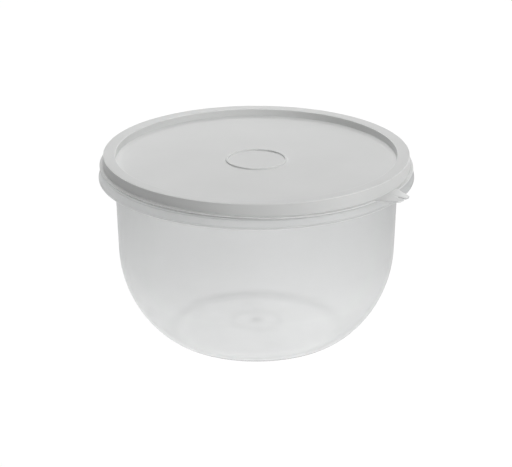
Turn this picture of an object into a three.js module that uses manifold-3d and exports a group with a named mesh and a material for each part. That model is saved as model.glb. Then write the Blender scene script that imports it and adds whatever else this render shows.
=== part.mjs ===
// Round storage bowl in frosted plastic, with a press-on lid that has a notched pull tab.
// Millimetres, +Z up. The origin is on the bowl's axis, in the plane that the foot stands on.
// The pull tab points along -Y.
import * as THREE from "three";
import { mergeVertices } from "three/addons/utils/BufferGeometryUtils.js";
import Module from "manifold-3d";

// Bowl: wall, belly and foot
const BOWL_WALL = 1.8;
const MOUTH_RADIUS = 108.65; // outside of the wall, right under the flange
const WALL_DRAFT = 2.1; // degrees by which the wall leans in on its way down
const BELLY_TOP = 70; // height at which the straight wall starts to curve in
const BELLY_PULL = 38; // reach of the curve's upper handle, down along the wall
const HEEL_PULL = 15.8; // reach of its lower handle, out from the foot
const HEEL_RISE = 19.6; // degrees by which the belly climbs as it leaves the foot
const FOOT_RADIUS = 64.8;
const FOOT_WIDTH = 1.6; // flat ring that the bowl stands on
const FOOT_EDGE = 0.5; // fillet of the foot's inner edge
const KICK_UP = 6.2; // depth of the hollow under the raised floor
const KICK_DRAFT = 0.3; // by which that hollow narrows towards its top
const FLOOR_FILLET = 1.2;

// Bowl: moulded marks under the floor
const RING_MARK_RADIUS = 18.7;
const RING_MARK_WIDTH = 2.2;
const RING_MARK_HEIGHT = 0.5;
const GATE_RADIUS = 5.5;
const GATE_DEPTH = 0.6;

// Bowl: flange with a turned-down band
const FLANGE_HEIGHT = 134.7; // top of the flange, and of the ledge inside the mouth
const FLANGE_REACH = 12.15; // from the wall's outside to the band's lower bead
const BAND_DROP = 7.2; // height of the band
const BAND_FLARE = 1.7; // by which the band's top lies inside its lower bead
const BAND_WALL = 1.7;
const BAND_BEAD_HEIGHT = 1.4;
const BAND_BEAD_RISE = 0.35;
const BAND_FILLET = 1.3;
const FLANGE_FILLET = 1;

// Bowl: upstanding rim with its sealing bead
const RIM_STEP = 0.85; // from the wall's outside to the rim's inside
const RIM_HEIGHT = 9.4; // above the flange
const RIM_HEAD = 5.3; // across the rim's top, out to the bead
const RIM_BEAD_DROP = 1.8; // straight side of the bead
const RIM_BEAD_UNDERCUT = 2.4; // slope from the bead back to the rim
const RIM_FILLET = 0.8;

// Lid
const LID_WALL = 1.6;
const RECESS_DEPTH = 6.1; // from the raised land down to the panel
const RECESS_DRAFT = 0.3; // by which the recess opens towards its top
const LAND_FILLET = 0.5;
const COVE_WIDTH = 8; // dished border of the panel
const COVE_RISE = 0.6;
const COVE_FILLET = 0.4;
const PLUG_FILLET = 1.3;
const CHANNEL_FILLET = 0.8;
const SKIRT_FLARE = 0.6; // by which the skirt widens down to the crease above its lip
const CREASE_DEPTH = 0.4; // fine groove between the skirt and its lip
const CREASE_HEIGHT = 0.5;
const LIP_THICKNESS = 0.8;
const LIP_FALL = 0.3; // from the crease out to the lip's edge
const LIP_FILLET = 0.3;
const LIP_RISE = 2.2; // by which the lip lies higher far from the tab than beside it
const RISE_START = 25; // degrees from the tab at which the lip starts to rise
const RISE_END = 95; // and at which it has risen in full
const SNAP_BEAD = 0.4; // ridge round the inside of the skirt
const SNAP_BEAD_HEIGHT = 1.6;

// Lid: raised ring on the panel
const RING_RADIUS = 22.7;
const RING_WIDTH = 2;
const RING_HEIGHT = 1;
const RING_CROWN = 1.6; // flat width along the ring's top

// Pull tab
const TAB_REACH = 14.9; // beyond the lip
const TAB_ROOT_WIDTH = 33;
const TAB_ROOT_DEPTH = 2.9; // by which the root lies inside the lip's edge
const TAB_TIP_WIDTH = 13.4;
const TAB_THICKNESS = 1.1;
const TAB_CORNER = 3;
const NOTCH_WIDTH = 2;
const NOTCH_DEPTH = 7;

// Fits between the two
const SEAT_GAP = 0.3; // rim top to the land's underside
const PLUG_CLEARANCE = 0.4; // lid's plug inside the rim
const SKIRT_CLEARANCE = 0.7; // lid's skirt outside the rim's bead
const LIP_GAP = 0.4; // lip's underside above the flange, beside the tab
const LIP_SETBACK = 0.8; // lip's edge inside the flange's

// Facets
const SIDES = 64;
const FILLET_STEP = 46; // degrees
const BELLY_STEPS = 9;
const WELD = 0.001; // points closer than this are one

// Radii that both pieces share
const FLANGE_RADIUS = MOUTH_RADIUS + FLANGE_REACH; // the widest circle
const RIM_INNER_RADIUS = MOUTH_RADIUS + RIM_STEP;
const RIM_BEAD_RADIUS = RIM_INNER_RADIUS + RIM_HEAD;

const { degToRad, radToDeg, smoothstep } = THREE.MathUtils;
const point = (x, y) => new THREE.Vector2(x, y);

/** Rounds a chain of [x, y, fillet] corners, each fillet limited by its two sides. */
function rounded(corners) {
  const at = (i) => point(corners[i][0], corners[i][1]);
  return corners.flatMap(([x, y, fillet = 0], i) => {
    const corner = point(x, y);
    if (!fillet) return [corner];
    const before = at(i - 1).sub(corner);
    const after = at(i + 1).sub(corner);
    const longest = Math.min(before.length(), after.length()) * 0.48;
    const half = Math.acos(before.normalize().dot(after.normalize())) / 2;
    const reach = Math.min(fillet / Math.tan(half), longest);
    const start = corner.clone().addScaledVector(before, reach);
    const end = corner.clone().addScaledVector(after, reach);
    const centre = before.clone().add(after).setLength(reach / Math.cos(half)).add(corner);
    const turn = Math.PI - 2 * half;
    const steps = Math.ceil(turn / degToRad(FILLET_STEP));
    const side = Math.sign(start.clone().sub(centre).cross(end.clone().sub(centre)));
    return Array.from({ length: steps + 1 }, (_, k) =>
      start.clone().rotateAround(centre, (side * turn * k) / steps),
    );
  });
}

/** Turns an outline of (radius, height) points about the Z axis. */
function lathe(outline) {
  return new THREE.LatheGeometry(outline, SIDES).rotateX(Math.PI / 2);
}

const wasm = await Module();
wasm.setup();

/** A closed geometry as a solid. */
function solid(geometry) {
  const loose = geometry.index ? geometry.toNonIndexed() : geometry;
  const bare = new THREE.BufferGeometry();
  bare.setAttribute("position", loose.getAttribute("position"));
  const merged = mergeVertices(bare, WELD);
  return new wasm.Manifold(
    new wasm.Mesh({
      numProp: 3,
      vertProperties: merged.getAttribute("position").array,
      triVerts: new Uint32Array(merged.index.array),
    }),
  );
}

/** A solid as a geometry. */
function geometryOf(body) {
  const { vertProperties, triVerts } = body.getMesh();
  const geometry = new THREE.BufferGeometry();
  geometry.setAttribute("position", new THREE.BufferAttribute(vertProperties, 3));
  geometry.setIndex(new THREE.BufferAttribute(triVerts, 1));
  return geometry;
}

/** The belly's outer curve, from the foot up to the straight wall. */
function bellyCurve() {
  const draft = degToRad(WALL_DRAFT);
  const heel = degToRad(HEEL_RISE);
  const wallFoot = MOUTH_RADIUS - (FLANGE_HEIGHT - BOWL_WALL - BELLY_TOP) * Math.tan(draft);
  return new THREE.CubicBezierCurve(
    point(FOOT_RADIUS, 0),
    point(FOOT_RADIUS + HEEL_PULL * Math.cos(heel), HEEL_PULL * Math.sin(heel)),
    point(wallFoot - BELLY_PULL * Math.sin(draft), BELLY_TOP - BELLY_PULL * Math.cos(draft)),
    point(wallFoot, BELLY_TOP),
  );
}

/** The bowl's outline, from the floor's underside round the rim to the floor's top. */
function bowlOutline() {
  const recessRadius = FOOT_RADIUS - FOOT_WIDTH;
  const plateauRadius = recessRadius + BOWL_WALL;
  const flangeUnder = FLANGE_HEIGHT - BOWL_WALL;
  const bandBottom = FLANGE_HEIGHT - BAND_DROP;
  const bandTop = FLANGE_RADIUS - BAND_FLARE;
  const bandFace = FLANGE_RADIUS - BAND_BEAD_RISE;
  const rimTop = FLANGE_HEIGHT + RIM_HEIGHT;
  const rimOuter = RIM_INNER_RADIUS + BOWL_WALL;
  const beadBottom = rimTop - RIM_BEAD_DROP;

  const belly = bellyCurve();
  const outside = belly.getPoints(BELLY_STEPS);
  const inside = outside
    .map((p, i) => {
      const along = belly.getTangent(i / BELLY_STEPS);
      return point(p.x - along.y * BOWL_WALL, p.y + along.x * BOWL_WALL);
    })
    .filter((p) => p.x > plateauRadius && p.y > BOWL_WALL)
    .reverse();

  const underside = rounded([
    [0, KICK_UP + GATE_DEPTH],
    [GATE_RADIUS, KICK_UP + GATE_DEPTH],
    [GATE_RADIUS, KICK_UP],
    [RING_MARK_RADIUS - RING_MARK_WIDTH / 2, KICK_UP],
    [RING_MARK_RADIUS, KICK_UP - RING_MARK_HEIGHT],
    [RING_MARK_RADIUS + RING_MARK_WIDTH / 2, KICK_UP],
    [recessRadius - KICK_DRAFT, KICK_UP, FLOOR_FILLET],
    [recessRadius, 0, FOOT_EDGE],
    [FOOT_RADIUS, 0],
  ]);
  const top = rounded([
    [outside[BELLY_STEPS].x, BELLY_TOP],
    [MOUTH_RADIUS, flangeUnder, FLANGE_FILLET],
    [bandTop - BAND_WALL, flangeUnder, FLANGE_FILLET],
    [FLANGE_RADIUS - BAND_WALL, bandBottom],
    [FLANGE_RADIUS, bandBottom],
    [FLANGE_RADIUS, bandBottom + BAND_BEAD_HEIGHT],
    [bandFace, bandBottom + BAND_BEAD_HEIGHT + BAND_BEAD_RISE],
    [bandTop, FLANGE_HEIGHT, BAND_FILLET],
    [rimOuter, FLANGE_HEIGHT, RIM_FILLET],
    [rimOuter, beadBottom - RIM_BEAD_UNDERCUT],
    [RIM_BEAD_RADIUS, beadBottom],
    [RIM_BEAD_RADIUS, rimTop, RIM_FILLET],
    [RIM_INNER_RADIUS, rimTop, RIM_FILLET],
    [RIM_INNER_RADIUS, FLANGE_HEIGHT, RIM_FILLET],
    [MOUTH_RADIUS - BOWL_WALL, FLANGE_HEIGHT, RIM_FILLET],
    [inside[0].x, inside[0].y],
  ]);
  const floor = rounded([
    [plateauRadius, BOWL_WALL],
    [plateauRadius - KICK_DRAFT, KICK_UP + BOWL_WALL, FLOOR_FILLET],
    [0, KICK_UP + BOWL_WALL],
  ]);
  return [
    ...underside.slice(0, -1),
    ...outside.slice(0, -1),
    ...top.slice(0, -1),
    ...inside,
    ...floor,
  ];
}

const CHANNEL_TOP = FLANGE_HEIGHT + RIM_HEIGHT + SEAT_GAP;
const LIP_UNDER = FLANGE_HEIGHT + LIP_GAP;
const LIP_RADIUS = FLANGE_RADIUS - LIP_SETBACK;

/** The lid's outline beside the tab, from the panel's underside round the skirt to the panel's top. */
function lidOutline() {
  const landTop = CHANNEL_TOP + LID_WALL;
  const panelTop = landTop - RECESS_DEPTH;
  const panelUnder = panelTop - LID_WALL;
  const plugOuter = RIM_INNER_RADIUS - PLUG_CLEARANCE;
  const plugInner = plugOuter - LID_WALL;
  const skirtInner = RIM_BEAD_RADIUS + SKIRT_CLEARANCE;
  const skirtOuter = skirtInner + LID_WALL;
  const skirtFoot = skirtOuter + SKIRT_FLARE;
  const lipTop = LIP_UNDER + LIP_THICKNESS;
  const crease = lipTop + LIP_FALL;
  return rounded([
    [0, panelUnder],
    [plugOuter, panelUnder, PLUG_FILLET],
    [plugOuter, CHANNEL_TOP, CHANNEL_FILLET],
    [skirtInner, CHANNEL_TOP, CHANNEL_FILLET],
    [skirtInner, LIP_UNDER + SNAP_BEAD_HEIGHT],
    [skirtInner - SNAP_BEAD, LIP_UNDER + SNAP_BEAD_HEIGHT / 2],
    [skirtInner, LIP_UNDER],
    [LIP_RADIUS, LIP_UNDER, LIP_FILLET],
    [LIP_RADIUS, lipTop, LIP_FILLET],
    [skirtFoot - CREASE_DEPTH, crease],
    [skirtFoot, crease + CREASE_HEIGHT],
    [skirtOuter, landTop, LAND_FILLET],
    [plugInner + RECESS_DRAFT, landTop, LAND_FILLET],
    [plugInner, panelTop + COVE_RISE, COVE_FILLET],
    [plugInner - COVE_WIDTH / 2, panelTop, COVE_WIDTH],
    [RING_RADIUS + RING_WIDTH / 2, panelTop],
    [RING_RADIUS + RING_CROWN / 2, panelTop + RING_HEIGHT],
    [RING_RADIUS - RING_CROWN / 2, panelTop + RING_HEIGHT],
    [RING_RADIUS - RING_WIDTH / 2, panelTop],
    [0, panelTop],
  ]);
}

/** Raises the lid's lip and the skirt's foot away from the tab, so that they dip towards it. */
function dipped(turned) {
  const skirtMiddle = (CHANNEL_TOP + LIP_UNDER) / 2;
  const spots = turned.getAttribute("position");
  for (let i = 0; i < spots.count; i++) {
    const spot = new THREE.Vector3().fromBufferAttribute(spots, i);
    if (Math.hypot(spot.x, spot.y) < RIM_BEAD_RADIUS || spot.z > skirtMiddle) continue;
    const fromTab = radToDeg(Math.atan2(Math.abs(spot.x), -spot.y));
    spots.setZ(i, spot.z + LIP_RISE * smoothstep(fromTab, RISE_START, RISE_END));
  }
  return turned;
}

/** The notched pull tab, a flat tongue whose root lies inside the lip. */
function tabGeometry() {
  const tip = LIP_RADIUS + TAB_REACH;
  const slot = NOTCH_WIDTH / 2;
  const right = [
    [slot, tip - NOTCH_DEPTH, slot],
    [slot, tip, slot],
    [TAB_TIP_WIDTH / 2, tip, TAB_CORNER],
    [TAB_ROOT_WIDTH / 2, LIP_RADIUS - TAB_ROOT_DEPTH],
  ];
  const left = right.map(([x, y, fillet]) => [-x, y, fillet]).reverse();
  const outline = new THREE.Shape(rounded([...left, ...right]));
  return new THREE.ExtrudeGeometry(outline, { depth: TAB_THICKNESS, bevelEnabled: false })
    .rotateZ(Math.PI)
    .translate(0, 0, LIP_UNDER);
}

/** A named piece in its own plastic. */
function piece(name, geometry, settings) {
  const material = new THREE.MeshStandardMaterial(settings);
  material.name = `${name}_plastic`;
  const mesh = new THREE.Mesh(geometry, material);
  mesh.name = name;
  return mesh;
}

const container = new THREE.Group();
container.name = "storage_bowl";
container.add(
  piece("bowl", geometryOf(solid(lathe(bowlOutline()))), {
    color: 0xe6e8e8,
    roughness: 0.4,
    transparent: true,
    opacity: 0.6,
  }),
  piece("lid", geometryOf(solid(dipped(lathe(lidOutline()))).add(solid(tabGeometry()))), {
    color: 0xd6d7d6,
    roughness: 0.5,
  }),
);

export default container;
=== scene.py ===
"""Dresses a round frosted storage bowl and its pale press-on lid, and lights them in a plain studio.

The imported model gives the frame. Both mouldings are turned again here with fine fillets, the lid gets its
notched pull tab, and each takes a procedural plastic. Sizes are in millimetres and become metres in the mesh.
"""

import logging
import math
from dataclasses import dataclass, field
from enum import Enum
from typing import Any, NamedTuple, Sequence

import bmesh
import bpy
from mathutils import Matrix, Vector


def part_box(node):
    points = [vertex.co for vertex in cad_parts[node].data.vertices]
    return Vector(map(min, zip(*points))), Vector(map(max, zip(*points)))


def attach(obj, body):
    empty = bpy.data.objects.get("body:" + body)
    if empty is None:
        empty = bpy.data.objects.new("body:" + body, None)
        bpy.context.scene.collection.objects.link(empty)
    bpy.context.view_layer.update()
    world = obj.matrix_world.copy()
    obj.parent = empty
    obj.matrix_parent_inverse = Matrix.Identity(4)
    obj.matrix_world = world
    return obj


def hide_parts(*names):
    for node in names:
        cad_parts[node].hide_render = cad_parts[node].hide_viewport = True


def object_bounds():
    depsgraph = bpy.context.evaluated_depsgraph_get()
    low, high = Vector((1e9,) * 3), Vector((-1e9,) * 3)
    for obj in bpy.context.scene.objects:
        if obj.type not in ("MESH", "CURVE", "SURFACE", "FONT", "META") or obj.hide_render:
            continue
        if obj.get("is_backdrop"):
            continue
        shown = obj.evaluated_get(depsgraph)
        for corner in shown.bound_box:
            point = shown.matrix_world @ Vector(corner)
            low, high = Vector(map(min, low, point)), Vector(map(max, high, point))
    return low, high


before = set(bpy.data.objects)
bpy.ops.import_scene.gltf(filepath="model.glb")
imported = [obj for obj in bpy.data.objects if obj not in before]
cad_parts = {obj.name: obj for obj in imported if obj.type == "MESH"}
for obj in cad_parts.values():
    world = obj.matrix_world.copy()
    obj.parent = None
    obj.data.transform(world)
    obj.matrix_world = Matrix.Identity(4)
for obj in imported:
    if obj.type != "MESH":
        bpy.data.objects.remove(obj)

Colour = tuple[float, float, float]

MM = 0.001
IMAGE_WIDTH_PX = 512
WHITE: Colour = (1.0, 1.0, 1.0)
EDGE_LAYER = "edge"
NOISE_MIDDLE = 0.5
ROUND_PROFILE = 0.5

# The largest share of a side that one fillet may take, and the margins that make a stretch a long one
FILLET_REACH = 0.48
LONG_STRETCH = 8

# The radius of a sharp edge, the shortest span that is rated, and the distance of doubles, in millimetres
SHARP_EDGE = 0.4
SHORTEST_SPAN = 0.05
DOUBLES = 0.002

log = logging.getLogger("storage_bowl")


class Body(str, Enum):
    """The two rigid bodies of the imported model, which are also its nodes."""

    BOWL = "bowl"
    LID = "lid"


class Slot(str, Enum):
    """The record's material slots."""

    BOWL = "bowl_plastic"
    LID = "lid_plastic"


class Corner(NamedTuple):
    """A corner of an outline, in millimetres, with the radius that rounds it."""

    x: float
    y: float
    fillet: float = 0.0


def rounded(corners: Sequence[Corner], steps: int) -> list[Vector]:
    """Rounds the corners of a chain, each fillet limited by its two sides.

    Args:
        corners: The chain; its first and last corners stay sharp.
        steps: Facets for a right-angled fillet.

    Returns:
        The points of the rounded chain.
    """
    chain: list[Vector] = []
    for i, corner in enumerate(corners):
        here = Vector((corner.x, corner.y))
        if corner.fillet == 0.0:
            chain.append(here)
            continue
        before = Vector(corners[i - 1][:2]) - here
        after = Vector(corners[i + 1][:2]) - here
        longest = FILLET_REACH * min(before.length, after.length)
        before.normalize()
        after.normalize()
        half = before.angle(after) / 2
        reach = min(corner.fillet / math.tan(half), longest)
        bisector = (before + after).normalized()
        centre = here + bisector * (reach / math.cos(half))
        start = here + before * reach - centre
        turn = math.pi - 2 * half
        side = -1.0 if before.cross(after) > 0 else 1.0
        count = max(2, math.ceil(steps * turn / (math.pi / 2)))
        for k in range(count + 1):
            chain.append(centre + Matrix.Rotation(side * turn * k / count, 2) @ start)
    return chain


def supported(chain: Sequence[Vector], margin: float) -> list[Vector]:
    """Adds a point near both ends of each long straight stretch, so that smooth shading leaves it flat.

    Args:
        chain: The points of an outline.
        margin: How far from the ends the added points lie.

    Returns:
        The chain with the added points.
    """
    result = [chain[0]]
    for start, end in zip(chain, chain[1:]):
        along = end - start
        if along.length > LONG_STRETCH * margin:
            step = along.normalized() * margin
            result += [start + step, end - step]
        result.append(end)
    return result


def bezier(a: Vector, b: Vector, c: Vector, d: Vector, count: int) -> list[tuple[Vector, Vector]]:
    """Samples a cubic curve.

    Args:
        a: Its start.
        b: The handle of its start.
        c: The handle of its end.
        d: Its end.
        count: The number of stretches.

    Returns:
        Pairs of a point and the direction of travel there.
    """
    samples = []
    for k in range(count + 1):
        t = k / count
        s = 1 - t
        place = a * s**3 + b * (3 * s * s * t) + c * (3 * s * t * t) + d * t**3
        travel = (b - a) * s * s + (c - b) * (2 * s * t) + (d - c) * t * t
        samples.append((place, travel.normalized()))
    return samples


def linked(name: str, data: bpy.types.ID) -> bpy.types.Object:
    """Makes an object and links it to the scene.

    Args:
        name: The object's name.
        data: Its mesh, lamp or camera.

    Returns:
        The new object.
    """
    made = bpy.data.objects.new(name, data)
    bpy.context.collection.objects.link(made)
    return made


class Value:
    """A shader socket with arithmetic: each operator adds a Math node."""

    def __init__(self, graph: "Graph", socket: bpy.types.NodeSocket) -> None:
        """Wraps a socket of the graph."""
        self.graph = graph
        self.socket = socket

    def _math(self, operation: str, a: Any, b: Any) -> "Value":
        """Adds a Math node for two values."""
        return self.graph.node("ShaderNodeMath", {"operation": operation}, {0: a, 1: b})

    def __add__(self, other: Any) -> "Value":
        """Adds."""
        return self._math("ADD", self, other)

    def __radd__(self, other: Any) -> "Value":
        """Adds, from the right."""
        return self._math("ADD", other, self)

    def __sub__(self, other: Any) -> "Value":
        """Subtracts."""
        return self._math("SUBTRACT", self, other)

    def __rsub__(self, other: Any) -> "Value":
        """Subtracts from a number."""
        return self._math("SUBTRACT", other, self)

    def __mul__(self, other: Any) -> "Value":
        """Multiplies."""
        return self._math("MULTIPLY", self, other)

    def __rmul__(self, other: Any) -> "Value":
        """Multiplies, from the right."""
        return self._math("MULTIPLY", other, self)

    def __rtruediv__(self, other: Any) -> "Value":
        """Divides a number."""
        return self._math("DIVIDE", other, self)

    def __pow__(self, other: Any) -> "Value":
        """Raises to a power."""
        return self._math("POWER", self, other)

    def greatest(self, other: Any) -> "Value":
        """Takes the larger of the two."""
        return self._math("MAXIMUM", self, other)


class Graph:
    """A shader tree under construction."""

    FIRST_COLOUR = 6
    SECOND_COLOUR = 7
    MIXED_COLOUR = 2
    GAP_SAMPLES = 6
    BUMP_STRENGTH = 0.3

    def __init__(self, tree: bpy.types.NodeTree) -> None:
        """Empties the tree.

        Args:
            tree: The node tree of a material or of the world.
        """
        self.tree = tree
        tree.nodes.clear()

    def node(
        self,
        kind: str,
        settings: dict[str, Any] | None = None,
        inputs: dict[str | int, Any] | None = None,
        output: str | int = 0,
    ) -> Value:
        """Adds a node.

        Args:
            kind: The node's type.
            settings: Its own properties, which are set first.
            inputs: The values or links of its sockets, by name or number.
            output: The socket that is handed back.

        Returns:
            The chosen output.
        """
        made = self.tree.nodes.new(kind)
        for name, setting in (settings or {}).items():
            setattr(made, name, setting)
        for name, value in (inputs or {}).items():
            if isinstance(value, Value):
                self.tree.links.new(value.socket, made.inputs[name])
            else:
                made.inputs[name].default_value = value
        return Value(self, made.outputs[output] if made.outputs else made.inputs[0])

    def place(self) -> Value:
        """Gives the Object coordinates of a surface."""
        return self.node("ShaderNodeTexCoord", output="Object")

    def height(self) -> Value:
        """Gives the height of a surface in its object."""
        return self.node("ShaderNodeSeparateXYZ", None, {0: self.place()}, "Z")

    def radius(self) -> Value:
        """Measures from the Z axis.

        Returns:
            The distance of a surface from the axis.
        """
        flat = {0: self.place(), 1: (1.0, 1.0, 0.0)}
        across = self.node("ShaderNodeVectorMath", {"operation": "MULTIPLY"}, flat)
        return self.node("ShaderNodeVectorMath", {"operation": "LENGTH"}, {0: across}, "Value")

    def edge(self) -> Value:
        """Gives the rating of outer edges that the lathe stores."""
        return self.node("ShaderNodeAttribute", {"attribute_name": EDGE_LAYER}, output="Fac")

    def noise(self, grain: float, detail: float = 2.0) -> Value:
        """Gives fractal noise.

        Args:
            grain: The size of its patches in millimetres.
            detail: The number of finer layers.

        Returns:
            Noise from 0 to 1.
        """
        inputs = {"Vector": self.place(), "Scale": 1 / (grain * MM), "Detail": detail}
        return self.node("ShaderNodeTexNoise", {"noise_dimensions": "3D"}, inputs)

    def grain(self, size: float, depth: float) -> Value:
        """Roughens a surface finely.

        Args:
            size: The size of a grain in millimetres.
            depth: Its depth in millimetres.

        Returns:
            The bent normals.
        """
        bump = {"Strength": self.BUMP_STRENGTH, "Distance": depth * MM, "Height": self.noise(size)}
        return self.node("ShaderNodeBump", None, bump)

    def gaps(self, reach: float) -> Value:
        """Finds narrow gaps.

        Args:
            reach: The width in millimetres of the widest gap that counts.

        Returns:
            0 in the open and up to 1 inside a gap, where shade is painted.
        """
        settings = {"samples": self.GAP_SAMPLES}
        return 1 - self.node("ShaderNodeAmbientOcclusion", settings, {"Distance": reach * MM}, "AO")

    def ramp(self, value: Value, low: float, high: float) -> Value:
        """Rises from 0 to 1.

        Args:
            value: A length.
            low: Where the rise starts, in millimetres.
            high: Where it ends, in millimetres.

        Returns:
            A share from 0 to 1.
        """
        inputs = {"Value": value, "From Min": low * MM, "From Max": high * MM}
        return self.node("ShaderNodeMapRange", None, inputs)

    def blend(self, factor: Value, a: Value | Colour, b: Colour) -> Value:
        """Mixes two colours.

        Args:
            factor: The share of the second.
            a: The first colour, which may come from a node.
            b: The second colour.

        Returns:
            The mixed colour.
        """
        first = a if isinstance(a, Value) else (*a, 1.0)
        inputs = {"Factor": factor, self.FIRST_COLOUR: first, self.SECOND_COLOUR: (*b, 1.0)}
        return self.node("ShaderNodeMix", {"data_type": "RGBA"}, inputs, self.MIXED_COLOUR)

    def plain(self, kind: str, colour: Colour) -> Value:
        """Gives a simple shader of one colour, such as a diffuse or a translucent one."""
        return self.node(kind, None, {"Color": (*colour, 1.0)})

    def layer(self, share: Value | float, under: Value, over: Value) -> Value:
        """Lays a share of one shader over another."""
        return self.node("ShaderNodeMixShader", None, {0: share, 1: under, 2: over})

    def view_rays(self) -> Value:
        """Tells the rays by which a thing is seen from those that light it.

        Returns:
            1 for rays that the camera, a reflection or a clear wall sends, and 0 for the rest.
        """
        path = "ShaderNodeLightPath"
        seen = self.node(path, output="Is Camera Ray")
        mirrored = self.node(path, output="Is Glossy Ray")
        through = self.node(path, output="Is Transmission Ray")
        return seen.greatest(mirrored).greatest(through)

    def end(self, surface: Value, kind: str = "ShaderNodeOutputMaterial") -> None:
        """Links the finished surface to the tree's output."""
        self.node(kind, None, {"Surface": surface})


def new_material(name: str) -> tuple[bpy.types.Material, Graph]:
    """Makes an empty node material.

    Args:
        name: The material's name.

    Returns:
        The material and its graph.
    """
    material = bpy.data.materials.new(name)
    material.use_nodes = True
    return material, Graph(material.node_tree)


@dataclass(frozen=True)
class FrostedPlastic:
    """Thin see-through plastic whose milky frost grows from the clear base up to the band.

    Part of the light goes straight through, and the frost scatters the rest back or on into the bowl. A wall
    that turns away from the eye is crossed at a slant, so it looks denser. The moulding marks show in the
    clear floor, with painted shade on the gate and on the ring mark's slopes. Painted shade darkens the wall
    towards the band, where the lid and flange would shade it, and lies in the gap under the lip. Lengths are
    in millimetres.
    """

    # Colours
    frost: Colour = (0.725, 0.73, 0.73)
    cloud: Colour = (0.695, 0.7, 0.7)
    # Painted shade: the frost darkens towards the band, where the lid and flange would shade the wall
    painted_top_shade: Colour = (0.57, 0.575, 0.575)
    band: Colour = (0.66, 0.665, 0.665)
    # Painted shade for the narrow gap under the lip
    gap_shade_colour: Colour = (0.12, 0.12, 0.12)
    # Painted shade on the gate and on the slopes of the ring mark's two lines
    mark_shade_colour: Colour = (0.63, 0.63, 0.63)

    # Shares of the light that the frost stops where it is crossed squarely
    floor_share: float = 0.08
    heel_share: float = 0.17
    belly_share: float = 0.32
    wall_share: float = 0.36
    band_share: float = 0.5
    edge_share: float = 0.3
    mark_share: float = 0.3
    cloud_spread: float = 0.02

    # Where the frost grows: outwards over the heel, then upwards
    clear_radius: float = 66.0
    heel_radius: float = 73.0
    heel_height: float = 9.5
    belly_height: float = 45.0
    wall_height: float = 125.0
    band_height: float = 129.0

    # The gate and the two lines of the ring mark, and the gap under the lip, where shade is painted
    gate_radius: float = 5.5
    mark_inner: float = 17.7
    mark_outer: float = 19.7
    mark_line: float = 0.8
    gap_reach: float = 5.0
    gap_radius: float = 118.0
    gap_fade: float = 2.0

    # Scatter, gloss and grain
    longest_path: float = 8.0
    scattered_on: float = 0.65
    gloss: float = 0.012
    edge_gloss: float = 0.04
    edge_power: float = 5.0
    specular: float = 0.05
    roughness: float = 0.4
    cloud_grain: float = 45.0
    cloud_detail: float = 3.0
    grain: float = 0.5
    grain_depth: float = 0.008

    def marks(self, graph: Graph) -> Value:
        """Finds the moulding marks under the floor.

        Args:
            graph: The material's graph.

        Returns:
            1 on the gate and on the ring mark's two lines, and 0 elsewhere.
        """
        radius = graph.radius()
        found = 1 - graph.ramp(radius, self.gate_radius / 2, self.gate_radius)
        for line in (self.mark_inner, self.mark_outer):
            rise = graph.ramp(radius, line - self.mark_line, line)
            found = found + rise - graph.ramp(radius, line, line + self.mark_line)
        return found

    def clearness(self, graph: Graph, facing: Value, cloud: Value) -> Value:
        """Gives the share of light that goes straight through.

        Args:
            graph: The material's graph.
            facing: 0 where the wall faces the eye and 1 where it turns away.
            cloud: The frost's unevenness from 0 to 1.

        Returns:
            A share from 0 to 1.
        """
        height = graph.height()
        steps = (
            (graph.radius(), self.clear_radius, self.heel_radius, self.heel_share - self.floor_share),
            (height, self.heel_height, self.belly_height, self.belly_share - self.heel_share),
            (height, self.belly_height, self.wall_height, self.wall_share - self.belly_share),
            (height, self.wall_height, self.band_height, self.band_share - self.wall_share),
        )
        uneven = (cloud - NOISE_MIDDLE) * self.cloud_spread
        share = self.floor_share + self.marks(graph) * self.mark_share + uneven
        for place, low, high, growth in steps:
            share = share + graph.ramp(place, low, high) * growth
        slant = 1 / (1 - facing).greatest(1 / self.longest_path)
        return (1 - share - graph.edge() * self.edge_share) ** slant

    def coats(self, graph: Graph, outside: Value) -> tuple[tuple[Value, Colour], ...]:
        """Lists the tints that cover the plain frost.

        Args:
            graph: The material's graph.
            outside: 1 on the outer face of the wall and 0 on its inner one.

        Returns:
            Pairs of a cover from 0 to 1 and a colour, in the order in which they lie: painted shade on the
            marks, then painted shade towards the top, the band's lighter tone, and painted shade in the gap
            under the lip.
        """
        height = graph.height()
        # Painted shade lies only within the lid's lip, in the gap under it
        gap_shade_mask = 1 - graph.ramp(graph.radius(), self.gap_radius - self.gap_fade, self.gap_radius)
        return (
            # Painted shade on the gate and on the ring mark's slopes
            (self.marks(graph), self.mark_shade_colour),
            # Painted shade, darker towards the top where the lid and flange would shade the wall; the band
            # then takes its lighter tone
            (graph.ramp(height, self.belly_height, self.wall_height), self.painted_top_shade),
            (graph.ramp(height, self.wall_height, self.band_height), self.band),
            # Painted shade in the narrow gap under the lip, on the outer face
            (graph.gaps(self.gap_reach) * gap_shade_mask * outside, self.gap_shade_colour),
        )

    def material(self) -> bpy.types.Material:
        """Builds the material.

        Returns:
            A wall that is partly clear and partly frosted, with a thin gloss on its outer face.
        """
        material, graph = new_material("frosted_plastic")
        facing = graph.node("ShaderNodeLayerWeight", output="Facing")
        outside = 1 - graph.node("ShaderNodeNewGeometry", output="Backfacing")
        cloud = graph.noise(self.cloud_grain, self.cloud_detail)
        milk = graph.blend(cloud, self.frost, self.cloud)
        onward = graph.plain("ShaderNodeBsdfTranslucent", self.frost)
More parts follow.
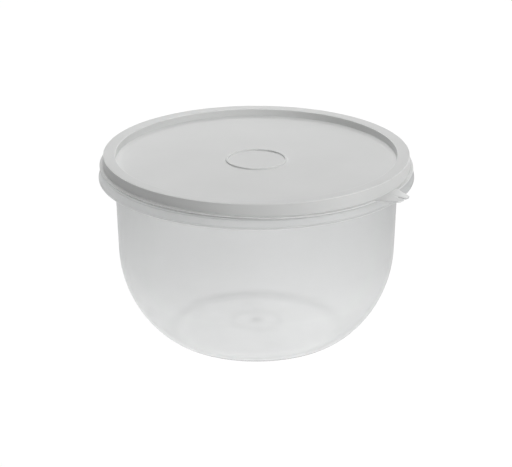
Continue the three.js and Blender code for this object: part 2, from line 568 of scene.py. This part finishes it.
        # The coats paint shade on the marks, towards the top and in the gap under the lip
        for cover, colour in self.coats(graph, outside):
            milk = graph.blend(cover, milk, colour)
            onward = graph.layer(cover, onward, graph.plain("ShaderNodeBsdfTranslucent", colour))
        shine = {"Roughness": self.roughness, "Normal": graph.grain(self.grain, self.grain_depth)}
        skin = {"Base Color": milk, "Specular IOR Level": self.specular, **shine}
        back = graph.node("ShaderNodeBsdfPrincipled", None, skin)
        frost = graph.layer(self.scattered_on, back, onward)
        clear = graph.node("ShaderNodeBsdfTransparent")
        wall = graph.layer(self.clearness(graph, facing, cloud), frost, clear)
        mirror = graph.node("ShaderNodeBsdfAnisotropic", None, shine)
        sheen = outside * (self.gloss + facing**self.edge_power * self.edge_gloss)
        graph.end(graph.layer(sheen, wall, mirror))
        return material


@dataclass(frozen=True)
class SatinPlastic:
    """Soft opaque plastic with a fine moulded grain, a little polished and with a painted highlight on its
    edges.
    """

    colour: Colour = (0.64, 0.645, 0.64)
    mottle: Colour = (0.61, 0.615, 0.61)
    # Painted highlight along the outer edges
    edge_highlight_colour: Colour = (0.79, 0.795, 0.79)
    mottle_grain: float = 40.0
    mottle_detail: float = 3.0
    roughness: float = 0.5
    roughness_spread: float = 0.1
    edge_polish: float = 0.1
    refraction: float = 1.5
    specular: float = 0.3
    grain: float = 0.6
    grain_depth: float = 0.01

    def material(self) -> bpy.types.Material:
        """Builds the material.

        Returns:
            An opaque surface.
        """
        material, graph = new_material("satin_plastic")
        mottle = graph.noise(self.mottle_grain, self.mottle_detail)
        edge = graph.edge()
        colour = graph.blend(mottle, self.colour, self.mottle)
        uneven = (mottle - NOISE_MIDDLE) * self.roughness_spread
        shader = {
            # A painted highlight pales the outer edges
            "Base Color": graph.blend(edge, colour, self.edge_highlight_colour),
            "Roughness": self.roughness + uneven - edge * self.edge_polish,
            "IOR": self.refraction,
            "Specular IOR Level": self.specular,
            "Normal": graph.grain(self.grain, self.grain_depth),
        }
        graph.end(graph.node("ShaderNodeBsdfPrincipled", None, shader))
        return material


@dataclass(frozen=True)
class PaleFloor:
    """White sweep that keeps the object's shadow: it is seen by its glow and lights by its bounce."""

    bounce: Colour = (0.85, 0.85, 0.85)
    shadow: Colour = (0.06, 0.06, 0.06)
    glow: float = 0.97

    def material(self) -> bpy.types.Material:
        """Builds the material.

        Returns:
            A matt surface with a glow for the rays that see it.
        """
        material, graph = new_material("pale_floor")
        plain = graph.plain("ShaderNodeBsdfDiffuse", self.bounce)
        shadow = graph.plain("ShaderNodeBsdfDiffuse", self.shadow)
        glow = graph.node("ShaderNodeEmission", None, {"Strength": self.glow})
        seen = graph.node("ShaderNodeAddShader", None, {0: shadow, 1: glow})
        graph.end(graph.layer(graph.view_rays(), plain, seen))
        return material


class LatheTree:
    """Geometry nodes that turn an outline round the Z axis.

    HOOP is the radius in metres of the hoop that carries the outline, and WELD the distance in millimetres
    within which points merge.
    """

    HOOP = 0.1
    WELD = 0.005

    def __init__(self) -> None:
        """Builds the tree with its named inputs."""
        self.group = bpy.data.node_groups.new("lathe", "GeometryNodeTree")
        sockets = self.group.interface
        sockets.new_socket("Geometry", in_out="INPUT", socket_type="NodeSocketGeometry")
        self.segments = sockets.new_socket("Segments", in_out="INPUT", socket_type="NodeSocketInt")
        self.weld = sockets.new_socket("Weld", in_out="INPUT", socket_type="NodeSocketFloat")
        self.dress = sockets.new_socket("Material", in_out="INPUT", socket_type="NodeSocketMaterial")
        sockets.new_socket("Geometry", in_out="OUTPUT", socket_type="NodeSocketGeometry")
        self._wire()

    def _add(self, kind: str, **inputs: Any) -> bpy.types.bpy_prop_collection:
        """Adds a node and sets or links its sockets.

        Args:
            kind: The node's type.
            **inputs: Values or output sockets, by socket name with spaces as underscores.

        Returns:
            The node's output sockets.
        """
        made = self.group.nodes.new(kind)
        for name, value in inputs.items():
            socket = made.inputs[name.replace("_", " ")]
            if isinstance(value, bpy.types.NodeSocket):
                self.group.links.new(value, socket)
            else:
                socket.default_value = value
        return made.outputs

    def _wire(self) -> None:
        """Adds the nodes: a hoop carries the outline, and its poles are welded."""
        given = self._add("NodeGroupInput")
        outline = self._add("GeometryNodeMeshToCurve", Mesh=given["Geometry"])[0]
        laid = self._add(
            "GeometryNodeTransform",
            Geometry=outline,
            Translation=(-self.HOOP, 0.0, 0.0),
            Rotation=(math.pi / 2, 0.0, 0.0),
        )[0]
        circle = "GeometryNodeCurvePrimitiveCircle"
        hoop = self._add(circle, Resolution=given["Segments"], Radius=self.HOOP)[0]
        shell = self._add("GeometryNodeCurveToMesh", Curve=hoop, Profile_Curve=laid)[0]
        welded = self._add("GeometryNodeMergeByDistance", Geometry=shell, Distance=given["Weld"])[0]
        smooth = self._add("GeometryNodeSetShadeSmooth", Geometry=welded)[0]
        real = self._add("GeometryNodeRealizeInstances", Geometry=smooth)[0]
        dressed = self._add("GeometryNodeSetMaterial", Geometry=real, Material=given["Material"])[0]
        self._add("NodeGroupOutput", Geometry=dressed)

    def turn(
        self, name: str, chain: Sequence[Vector], segments: int, material: bpy.types.Material
    ) -> bpy.types.Object:
        """Turns an outline into a closed shell.

        Args:
            name: The new object's name.
            chain: The outline as (radius, height) in millimetres, from the axis back to the axis.
            segments: Facets round the axis.
            material: The shell's material.

        Returns:
            The shell, as a plain mesh object.
        """
        mesh = bpy.data.meshes.new(f"{name}_outline")
        points = [(p.x * MM, 0.0, p.y * MM) for p in chain]
        mesh.from_pydata(points, [(i, i + 1) for i in range(len(points) - 1)], [])
        edge = mesh.attributes.new(EDGE_LAYER, "FLOAT", "POINT")
        edge.data.foreach_set("value", convex_edges(chain))
        piece = linked(name, mesh)
        modifier = piece.modifiers.new("lathe", "NODES")
        modifier.node_group = self.group
        modifier[self.segments.identifier] = segments
        modifier[self.weld.identifier] = self.WELD * MM
        modifier[self.dress.identifier] = material
        bake(piece)
        face_outwards(piece.data)
        return piece


def convex_edges(chain: Sequence[Vector]) -> list[float]:
    """Rates how strongly an outline turns round each of its points.

    Args:
        chain: The outline, with the material on its left.

    Returns:
        For each point, 0 where it is flat or hollow and 1 on an outer edge with a radius of SHARP_EDGE.
    """
    rates = [0.0]
    for before, here, after in zip(chain, chain[1:], chain[2:]):
        arriving = here - before
        leaving = after - here
        turn = math.atan2(arriving.cross(leaving), arriving.dot(leaving))
        span = (arriving.length + leaving.length) / 2
        rates.append(min(1.0, max(0.0, SHARP_EDGE * turn / max(span, SHORTEST_SPAN))))
    return rates + [0.0]


def bake(piece: bpy.types.Object) -> None:
    """Replaces a piece's mesh by its evaluated one and drops its modifiers.

    Args:
        piece: The object to bake.
    """
    evaluated = piece.evaluated_get(bpy.context.evaluated_depsgraph_get())
    mesh = bpy.data.meshes.new_from_object(evaluated)
    mesh.name = piece.name
    piece.modifiers.clear()
    piece.data = mesh


def face_outwards(mesh: bpy.types.Mesh) -> None:
    """Merges doubles and turns the faces of a closed mesh outwards.

    Args:
        mesh: The mesh to mend.
    """
    work = bmesh.new()
    work.from_mesh(mesh)
    bmesh.ops.remove_doubles(work, verts=work.verts, dist=DOUBLES * MM)
    bmesh.ops.recalc_face_normals(work, faces=work.faces)
    work.to_mesh(mesh)
    work.free()


@dataclass
class Moulding:
    """A moulded piece that is turned round the axis.

    Its sizes are in millimetres and its angles in degrees.
    """

    lathe: LatheTree
    material: bpy.types.Material
    segments: int = 192
    fillet_steps: int = 6
    support: float = 0.35

    def claim(self, piece: bpy.types.Object, body: Body, slot: Slot) -> None:
        """Lets a piece stand for a node and ride on its body.

        Args:
            piece: The finished piece.
            body: The body and node that it stands for.
            slot: The record's slot; not used.
        """
        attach(piece, body.value)
        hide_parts(body.value)
        log.info("%s stands for %s with %d faces", piece.name, body.value, len(piece.data.polygons))


@dataclass
class Bowl(Moulding):
    """The frosted bowl: raised floor, foot, belly, flange with a turned-down band, and sealing rim."""

    wall: float = 1.8
    mouth_radius: float = 108.65
    draft: float = 2.1
    belly_top: float = 70.0
    belly_pull: float = 38.0
    heel_pull: float = 15.8
    heel_rise: float = 19.6
    foot_radius: float = 64.8
    foot_width: float = 1.6
    kick_up: float = 6.2
    kick_draft: float = 0.3
    flange_height: float = 134.7
    band_drop: float = 7.2
    band_flare: float = 1.7
    band_wall: float = 1.7
    bead_height: float = 1.4
    bead_rise: float = 0.35
    rim_inner: float = 109.5
    rim_bead: float = 114.8
    rim_bead_drop: float = 1.8
    rim_bead_undercut: float = 2.4
    ring_mark: float = 18.7
    ring_mark_width: float = 2.2
    ring_mark_height: float = 0.5
    gate_radius: float = 5.5
    gate_depth: float = 0.6
    gate_slope: float = 0.5
    heel_gap: float = 0.6
    belly_steps: int = 44
    mark_root_fillet: float = 0.3
    mark_fillet: float = 0.4
    floor_fillet: float = 1.2
    foot_fillet: float = 0.5
    flange_fillet: float = 1.0
    band_inner_fillet: float = 0.35
    band_outer_fillet: float = 0.45
    band_top_fillet: float = 1.3
    bead_fillet: float = 0.3
    rim_fillet: float = 0.8
    undercut_fillet: float = 0.5
    catch_fillet: float = 0.4
    flange_radius: float = field(init=False)
    rim_top: float = field(init=False)

    def __post_init__(self) -> None:
        """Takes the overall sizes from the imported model."""
        _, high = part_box(Body.BOWL.value)
        self.flange_radius = high.x / MM
        self.rim_top = high.z / MM

    def underside(self) -> list[Vector]:
        """Outlines the floor's underside and the foot.

        Returns:
            The points from the axis outwards.
        """
        recess = self.foot_radius - self.foot_width
        mark = self.ring_mark_width / 2
        mark_low = self.kick_up - self.ring_mark_height
        gate_top = self.kick_up + self.gate_depth
        corners = [
            Corner(0.0, gate_top),
            Corner(self.gate_radius - self.gate_slope, gate_top, self.mark_fillet),
            Corner(self.gate_radius, self.kick_up, self.mark_root_fillet),
            Corner(self.ring_mark - mark, self.kick_up, self.mark_root_fillet),
            Corner(self.ring_mark - mark / 2, mark_low, self.mark_fillet),
            Corner(self.ring_mark + mark / 2, mark_low, self.mark_fillet),
            Corner(self.ring_mark + mark, self.kick_up, self.mark_root_fillet),
            Corner(recess - self.kick_draft, self.kick_up, self.floor_fillet),
            Corner(recess, 0.0, self.foot_fillet),
            Corner(self.foot_radius, 0.0),
        ]
        return rounded(corners, self.fillet_steps)

    def belly(self) -> list[tuple[Vector, Vector]]:
        """Samples the belly's outer curve.

        Returns:
            Points and directions of travel, from the foot up to the straight wall.
        """
        draft = math.radians(self.draft)
        heel = math.radians(self.heel_rise)
        drop = self.flange_height - self.wall - self.belly_top
        foot = Vector((self.foot_radius, 0.0))
        top = Vector((self.mouth_radius - drop * math.tan(draft), self.belly_top))
        foot_handle = foot + self.heel_pull * Vector((math.cos(heel), math.sin(heel)))
        top_handle = top - self.belly_pull * Vector((math.sin(draft), math.cos(draft)))
        return bezier(foot, foot_handle, top_handle, top, self.belly_steps)

    def rim(self, outer: Vector, inner: Vector) -> list[Vector]:
        """Outlines the wall, the flange and the rim.

        Args:
            outer: The top of the belly's outer curve.
            inner: The top of its inner curve.

        Returns:
            The points from the one round to the other.
        """
        under = self.flange_height - self.wall
        bottom = self.flange_height - self.band_drop
        band_top = self.flange_radius - self.band_flare
        bead_top = bottom + self.bead_height
        rim_outer = self.rim_inner + self.wall
        catch = self.rim_top - self.rim_bead_drop
        corners = [
            Corner(*outer),
            Corner(self.mouth_radius, under, self.flange_fillet),
            Corner(band_top - self.band_wall, under, self.flange_fillet),
            Corner(self.flange_radius - self.band_wall, bottom, self.band_inner_fillet),
            Corner(self.flange_radius, bottom, self.band_outer_fillet),
            Corner(self.flange_radius, bead_top, self.bead_fillet),
            Corner(self.flange_radius - self.bead_rise, bead_top + self.bead_rise, self.bead_fillet),
            Corner(band_top, self.flange_height, self.band_top_fillet),
            Corner(rim_outer, self.flange_height, self.rim_fillet),
            Corner(rim_outer, catch - self.rim_bead_undercut, self.undercut_fillet),
            Corner(self.rim_bead, catch, self.catch_fillet),
            Corner(self.rim_bead, self.rim_top, self.rim_fillet),
            Corner(self.rim_inner, self.rim_top, self.rim_fillet),
            Corner(self.rim_inner, self.flange_height, self.rim_fillet),
            Corner(self.mouth_radius - self.wall, self.flange_height, self.rim_fillet),
            Corner(*inner),
        ]
        return rounded(corners, self.fillet_steps)

    def outline(self) -> list[Vector]:
        """Joins the whole outline.

        Returns:
            The points from the floor's underside round the rim to the floor's top.
        """
        plateau = self.foot_radius - self.foot_width + self.wall
        curve = self.belly()
        outside = [place for place, _ in curve]
        offset = [place + self.wall * Vector((-travel.y, travel.x)) for place, travel in curve]
        nearest = plateau + self.heel_gap
        inside = [p for p in reversed(offset) if p.x > nearest and p.y > self.wall]
        floor_top = self.kick_up + self.wall
        floor = [
            Corner(*inside[-1]),
            Corner(plateau, self.wall, self.foot_fillet),
            Corner(plateau - self.kick_draft, floor_top, self.floor_fillet),
            Corner(0.0, floor_top),
        ]
        return [
            *supported(self.underside(), self.support)[:-1],
            *outside[:-1],
            *supported(self.rim(outside[-1], inside[0]), self.support)[:-1],
            *inside[:-1],
            *supported(rounded(floor, self.fillet_steps), self.support),
        ]

    def build(self) -> bpy.types.Object:
        """Makes the bowl's shell and hands it to the frame.

        Returns:
            The shell.
        """
        shell = self.lathe.turn("bowl_shell", self.outline(), self.segments, self.material)
        self.claim(shell, Body.BOWL, Slot.BOWL)
        return shell


@dataclass
class Lid(Moulding):
    """The pale lid: recessed panel with a raised ring, land, flared skirt, lip and pull tab."""

    wall: float = 1.6
    recess_depth: float = 6.1
    recess_draft: float = 0.3
    plug_outer: float = 109.1
    skirt_inner: float = 115.5
    skirt_flare: float = 0.6
    snap_bead: float = 0.4
    snap_bead_height: float = 1.6
    crease_depth: float = 0.2
    crease_height: float = 0.5
    lip_thickness: float = 0.8
    lip_fall: float = 0.3
    lip_rise: float = 2.2
    rise_start: float = 25.0
    rise_end: float = 95.0
    cove_width: float = 8.0
    cove_rise: float = 0.6
    ring_radius: float = 22.7
    ring_width: float = 2.0
    ring_height: float = 1.3
    ring_crown: float = 1.6
    tab_root_width: float = 33.0
    tab_root_depth: float = 2.9
    tab_tip_width: float = 13.4
    tab_corner: float = 3.0
    tab_thickness: float = 1.1
    tab_edge: float = 0.3
    notch_width: float = 2.0
    notch_depth: float = 7.0
    plug_fillet: float = 1.3
    channel_fillet: float = 0.8
    snap_root_fillet: float = 0.4
    snap_fillet: float = 0.5
    lip_fillet: float = 0.3
    crease_fillet: float = 0.1
    skirt_fillet: float = 0.2
    land_fillet: float = 0.5
    cove_fillet: float = 0.4
    ring_root_fillet: float = 0.15
    ring_fillet: float = 0.25
    tab_edge_steps: int = 3
    level_edge: float = 0.1
    sharp_angle: float = 40.0
    lip_radius: float = field(init=False)
    lip_under: float = field(init=False)
    land_top: float = field(init=False)
    tab_tip: float = field(init=False)

    def __post_init__(self) -> None:
        """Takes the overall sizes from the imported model."""
        low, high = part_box(Body.LID.value)
        self.lip_radius = high.x / MM
        self.lip_under = low.z / MM
        self.land_top = high.z / MM
        self.tab_tip = -low.y / MM

    def outline(self) -> list[Vector]:
        """Outlines the lid beside its tab.

        Returns:
            The points from the panel's underside round the skirt to the panel's top.
        """
        channel_top = self.land_top - self.wall
        panel_top = self.land_top - self.recess_depth
        panel_under = panel_top - self.wall
        plug_inner = self.plug_outer - self.wall
        skirt_outer = self.skirt_inner + self.wall
        skirt_foot = skirt_outer + self.skirt_flare
        lip_top = self.lip_under + self.lip_thickness
        crease = lip_top + self.lip_fall
        half_ring = self.ring_width / 2
        half_crown = self.ring_crown / 2
        ring_top = panel_top + self.ring_height
        snap = self.lip_under + self.snap_bead_height
        corners = [
            Corner(0.0, panel_under),
            Corner(self.plug_outer, panel_under, self.plug_fillet),
            Corner(self.plug_outer, channel_top, self.channel_fillet),
            Corner(self.skirt_inner, channel_top, self.channel_fillet),
            Corner(self.skirt_inner, snap, self.snap_root_fillet),
            Corner(self.skirt_inner - self.snap_bead, (snap + self.lip_under) / 2, self.snap_fillet),
            Corner(self.skirt_inner, self.lip_under, self.lip_fillet),
            Corner(self.lip_radius, self.lip_under, self.lip_fillet),
            Corner(self.lip_radius, lip_top, self.lip_fillet),
            Corner(skirt_foot - self.crease_depth, crease, self.crease_fillet),
            Corner(skirt_foot, crease + self.crease_height, self.skirt_fillet),
            Corner(skirt_outer, self.land_top, self.land_fillet),
            Corner(plug_inner + self.recess_draft, self.land_top, self.land_fillet),
            Corner(plug_inner, panel_top + self.cove_rise, self.cove_fillet),
            Corner(plug_inner - self.cove_width / 2, panel_top, self.cove_width),
            Corner(self.ring_radius + half_ring, panel_top, self.ring_root_fillet),
            Corner(self.ring_radius + half_crown, ring_top, self.ring_fillet),
            Corner(self.ring_radius - half_crown, ring_top, self.ring_fillet),
            Corner(self.ring_radius - half_ring, panel_top, self.ring_root_fillet),
            Corner(0.0, panel_top),
        ]
        return supported(rounded(corners, self.fillet_steps), self.support)

    def dip(self, mesh: bpy.types.Mesh) -> None:
        """Raises the lip and the skirt's foot away from the tab, so that they dip towards it.

        Args:
            mesh: The turned shell.
        """
        inside = (self.skirt_inner - 2 * self.snap_bead) * MM
        middle = (self.land_top - self.wall + self.lip_under) / 2 * MM
        for vertex in mesh.vertices:
            x, y, z = vertex.co
            if math.hypot(x, y) < inside or z > middle:
                continue
            turn = math.degrees(math.atan2(abs(x), -y))
            share = (turn - self.rise_start) / (self.rise_end - self.rise_start)
            share = min(1.0, max(0.0, share))
            vertex.co.z = z + self.lip_rise * MM * share * share * (3 - 2 * share)

    def tab(self) -> bpy.types.Object:
        """Makes the notched tongue, with softly rounded edges and its root inside the lip.

        Returns:
            The tongue as a closed mesh object, pointing along -Y.
        """
        slot = self.notch_width / 2
        right = [
            Corner(slot, self.tab_tip - self.notch_depth, slot),
            Corner(slot, self.tab_tip, slot),
            Corner(self.tab_tip_width / 2, self.tab_tip, self.tab_corner),
            Corner(self.tab_root_width / 2, self.lip_radius - self.tab_root_depth),
        ]
        left = [Corner(-x, y, fillet) for x, y, fillet in reversed(right)]
        ring = rounded(left + right, self.fillet_steps)
        work = bmesh.new()
        low = [work.verts.new((-p.x * MM, -p.y * MM, self.lip_under * MM)) for p in ring]
        base = work.faces.new(low)
        raised = bmesh.ops.extrude_face_region(work, geom=[base])["geom"]
        lift = Vector((0.0, 0.0, self.tab_thickness * MM))
        verts = [item for item in raised if isinstance(item, bmesh.types.BMVert)]
        bmesh.ops.translate(work, vec=lift, verts=verts)
        bmesh.ops.recalc_face_normals(work, faces=work.faces)
        level = self.level_edge * MM
        flat = [e for e in work.edges if abs(e.verts[0].co.z - e.verts[1].co.z) < level]
        bmesh.ops.bevel(
            work,
            geom=flat,
            offset=self.tab_edge * MM,
            segments=self.tab_edge_steps,
            profile=ROUND_PROFILE,
            affect="EDGES",
        )
        mesh = bpy.data.meshes.new("lid_tab")
        work.to_mesh(mesh)
        work.free()
        return linked("lid_tab", mesh)

    def build(self) -> bpy.types.Object:
        """Makes the lid's shell with its tab and hands it to the frame.

        Returns:
            The shell.
        """
        shell = self.lathe.turn("lid_shell", self.outline(), self.segments, self.material)
        self.dip(shell.data)
        tab = self.tab()
        join = shell.modifiers.new("tab", "BOOLEAN")
        join.operation = "UNION"
        join.solver = "EXACT"
        join.object = tab
        bake(shell)
        bpy.data.objects.remove(tab)
        shell.data.shade_smooth()
        shell.data.set_sharp_from_angle(angle=math.radians(self.sharp_angle))
        self.claim(shell, Body.LID, Slot.LID)
        return shell


@dataclass(frozen=True)
class Softbox:
    """A large square lamp that faces the object, in degrees, metres and watts.

    Its bearing is to the right of the camera's.
    """

    name: str
    bearing: float
    elevation: float
    distance: float
    size: float
    power: float
    shadows: bool = False


@dataclass
class Studio:
    """Floor, sky, softboxes and camera.

    Angles are in degrees. The camera's distance and the floor's size are in metres, and the lens, the sensor,
    the aim and the floor's gap in millimetres.
    """

    azimuth: float = -54.5
    elevation: float = 20.55
    distance: float = 2.0
    lens: float = 181.8
    sensor: float = 36.0
    aim_below_top: float = 66.34
    axis_offset_px: float = 0.41
    floor_size: float = 8.0
    floor_gap: float = 0.2
    softboxes: tuple[Softbox, ...] = (
        Softbox("side", 60.0, 12.0, 1.2, 0.6, 7.3),
        Softbox("front", -18.0, 12.0, 1.2, 0.6, 3.5),
        Softbox("right", 120.0, 12.0, 1.2, 0.6, 0.5),
        Softbox("left", -120.0, 12.0, 1.2, 0.6, 0.4),
        Softbox("back_left", -135.0, 50.0, 1.0, 0.5, 1.4),
        Softbox("back", 180.0, 45.0, 1.2, 0.7, 5.6),
        Softbox("overhead", 180.0, 70.0, 1.2, 0.7, 1.8, True),
        Softbox("key", 60.0, 70.0, 1.2, 0.7, 1.8, True),
    )

    def direction(self, bearing: float, elevation: float) -> Vector:
        """Gives the direction from the object to a place in the studio.

        Args:
            bearing: Degrees to the right of the camera.
            elevation: Degrees above the horizon.

        Returns:
            A unit vector.
        """
        turn = math.radians(self.azimuth + bearing)
        rise = math.radians(elevation)
        flat = math.cos(rise)
        return Vector((math.sin(turn) * flat, -math.cos(turn) * flat, math.sin(rise)))

    def floor(self) -> None:
        """Lays the pale floor, a hair below the foot."""
        half = self.floor_size / 2
        mesh = bpy.data.meshes.new("floor")
        corners = [(-half, -half), (half, -half), (half, half), (-half, half)]
        mesh.from_pydata([(x, y, -self.floor_gap * MM) for x, y in corners], [], [(0, 1, 2, 3)])
        mesh.materials.append(PaleFloor().material())
        piece = linked("floor", mesh)
        piece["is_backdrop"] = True

    def sky(self) -> None:
        """Shows the world white to the rays that see it, and lights nothing with it."""
        world = bpy.data.worlds.new("studio")
        world.use_nodes = True
        bpy.context.scene.world = world
        graph = Graph(world.node_tree)
        inputs = {"Color": (*WHITE, 1.0), "Strength": graph.view_rays()}
        graph.end(graph.node("ShaderNodeBackground", None, inputs), "ShaderNodeOutputWorld")

    @staticmethod
    def stand(thing: bpy.types.Object, towards: Vector, target: Vector, distance: float) -> None:
        """Stands a lamp or the camera before a target, which it faces.

        Args:
            thing: The lamp or the camera.
            towards: The direction from the target.
            target: What it faces.
            distance: How far from the target it stands, in metres.
        """
        thing.location = target + towards * distance
        thing.rotation_euler = (-towards).to_track_quat("-Z", "Y").to_euler()

    def lamps(self) -> None:
        """Hangs the softboxes."""
        for box in self.softboxes:
            light = bpy.data.lights.new(box.name, "AREA")
            light.energy = box.power
            light.size = box.size
            light.use_shadow = box.shadows
            lamp = linked(box.name, light)
            lamp.visible_camera = False
            self.stand(lamp, self.direction(box.bearing, box.elevation), Vector(), box.distance)

    def camera(self, top: float) -> None:
        """Sets up the camera at the photograph's viewing angle.

        Args:
            top: The height of the lid's top in metres.
        """
        data = bpy.data.cameras.new("camera")
        data.sensor_width = self.sensor
        data.lens = self.lens
        data.shift_x = -self.axis_offset_px / IMAGE_WIDTH_PX
        camera = linked("camera", data)
        target = Vector((0.0, 0.0, top - self.aim_below_top * MM))
        self.stand(camera, self.direction(0.0, self.elevation), target, self.distance)
        bpy.context.scene.camera = camera


def main() -> None:
    """Builds the studio, the bowl and the lid, aiming the camera by the imported model's size."""
    logging.basicConfig(level=logging.INFO, format="%(name)s: %(message)s")
    cad_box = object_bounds()
    bpy.context.scene.view_settings.view_transform = "Standard"
    studio = Studio()
    studio.camera(cad_box[1].z)
    studio.floor()
    studio.sky()
    studio.lamps()
    lathe = LatheTree()
    Bowl(lathe, FrostedPlastic().material()).build()
    Lid(lathe, SatinPlastic().material()).build()


if __name__ == "__main__":
    main()
